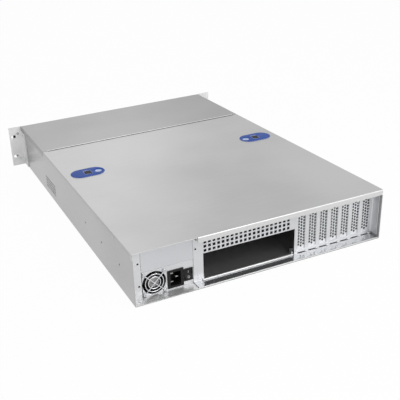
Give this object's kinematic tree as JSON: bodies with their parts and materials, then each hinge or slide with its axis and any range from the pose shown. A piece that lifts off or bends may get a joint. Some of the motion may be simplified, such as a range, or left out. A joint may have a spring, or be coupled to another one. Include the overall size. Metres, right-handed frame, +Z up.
{
  "type": "empty rackmount server case",
  "caption": "Low rack case in bare steel with sliding rear cover, push latches, perforated slot covers, board opening, power supply and ears with handles.",
  "frame": {"origin": "on the underside, midway between the sides, in the plane where the ears meet the rack posts", "axes": "+Z up, +Y from the front to the rear, +X to the side that holds the power supply"},
  "size_m": [0.4826, 0.678, 0.0868],
  "materials": {
    "case_steel": "satin zinc-coated sheet",
    "plated_screw": "bright plated",
    "latch_blue": "moulded, half gloss",
    "black_plastic": "moulded, fine texture",
    "plated_wire": "bright plated",
    "handle_alloy": "clear anodised",
    "handle_black": "black anodised",
    "light_lens": "clear moulded"
  },
  "bodies": {
    "chassis": {"base_tray": "case_steel", "front_cover": "case_steel", "rear_panel": "case_steel", "slot_cover_1": "case_steel", "slot_cover_2": "case_steel", "slot_cover_3": "case_steel", "slot_cover_4": "case_steel", "slot_cover_5": "case_steel", "slot_cover_6": "case_steel", "slot_cover_7": "case_steel", "slot_cover_screws": "plated_screw", "rear_left_angle": "case_steel", "supply_blank_plate": "case_steel", "supply_housing": "case_steel", "supply_fan_frame": "black_plastic", "supply_fan_guard": "plated_wire", "supply_fan_screws": "plated_screw", "power_inlet": "black_plastic", "inlet_pins": "plated_wire", "switch_frame": "black_plastic", "ear_left": "case_steel", "ear_right": "case_steel", "handle_left": "handle_black", "handle_right": "handle_black", "handle_screws": "plated_screw", "front_panel": "case_steel", "indicator_lights": "light_lens", "cross_brace": "case_steel", "fan_wall": "case_steel", "case_fan_frame_1": "black_plastic", "case_fan_frame_2": "black_plastic", "case_fan_frame_3": "black_plastic", "board_standoffs": "plated_screw"},
    "cover": {"top_cover": "case_steel", "latch_housing_left": "latch_blue", "latch_housing_right": "latch_blue"},
    "latch_left": {"latch_button_left": "black_plastic"},
    "latch_right": {"latch_button_right": "black_plastic"},
    "supply_rotor": {"supply_fan_rotor": "black_plastic"},
    "mains_switch": {"switch_rocker": "black_plastic"},
    "power_key": {"power_button": "handle_alloy"},
    "reset_key": {"reset_button": "handle_alloy"},
    "case_rotor_1": {"case_fan_rotor_1": "black_plastic"},
    "case_rotor_2": {"case_fan_rotor_2": "black_plastic"},
    "case_rotor_3": {"case_fan_rotor_3": "black_plastic"}
  },
  "joints": [
    {"name": "cover_slide", "type": "slide", "parent": "chassis", "child": "cover", "axis": [0, 1, 0], "range_m": [0, 0.012]},
    {"name": "latch_press_left", "type": "slide", "parent": "cover", "child": "latch_left", "axis": [0, 0, -1], "range_m": [0, 0.003], "stiffness_N_per_m": 400},
    {"name": "latch_press_right", "type": "slide", "parent": "cover", "child": "latch_right", "axis": [0, 0, -1], "range_m": [0, 0.003], "stiffness_N_per_m": 400},
    {"name": "supply_fan_spin", "type": "hinge", "parent": "chassis", "child": "supply_rotor", "pos_m": [0.1751, 0.61, 0.0208], "axis": [0, 1, 0], "continuous": true},
    {"name": "mains_switch_rock", "type": "hinge", "parent": "chassis", "child": "mains_switch", "pos_m": [0.1206, 0.6208, 0.0193], "axis": [1, 0, 0], "range_deg": [-18, 0]},
    {"name": "power_press", "type": "slide", "parent": "chassis", "child": "power_key", "axis": [0, 1, 0], "range_m": [0, 0.0015], "stiffness_N_per_m": 300},
    {"name": "reset_press", "type": "slide", "parent": "chassis", "child": "reset_key", "axis": [0, 1, 0], "range_m": [0, 0.001], "stiffness_N_per_m": 300},
    {"name": "case_fan_spin_1", "type": "hinge", "parent": "chassis", "child": "case_rotor_1", "pos_m": [-0.105, 0.189, 0.042], "axis": [0, 1, 0], "continuous": true},
    {"name": "case_fan_spin_2", "type": "hinge", "parent": "chassis", "child": "case_rotor_2", "pos_m": [0, 0.189, 0.042], "axis": [0, 1, 0], "continuous": true},
    {"name": "case_fan_spin_3", "type": "hinge", "parent": "chassis", "child": "case_rotor_3", "pos_m": [0.105, 0.189, 0.042], "axis": [0, 1, 0], "continuous": true}
  ]
}
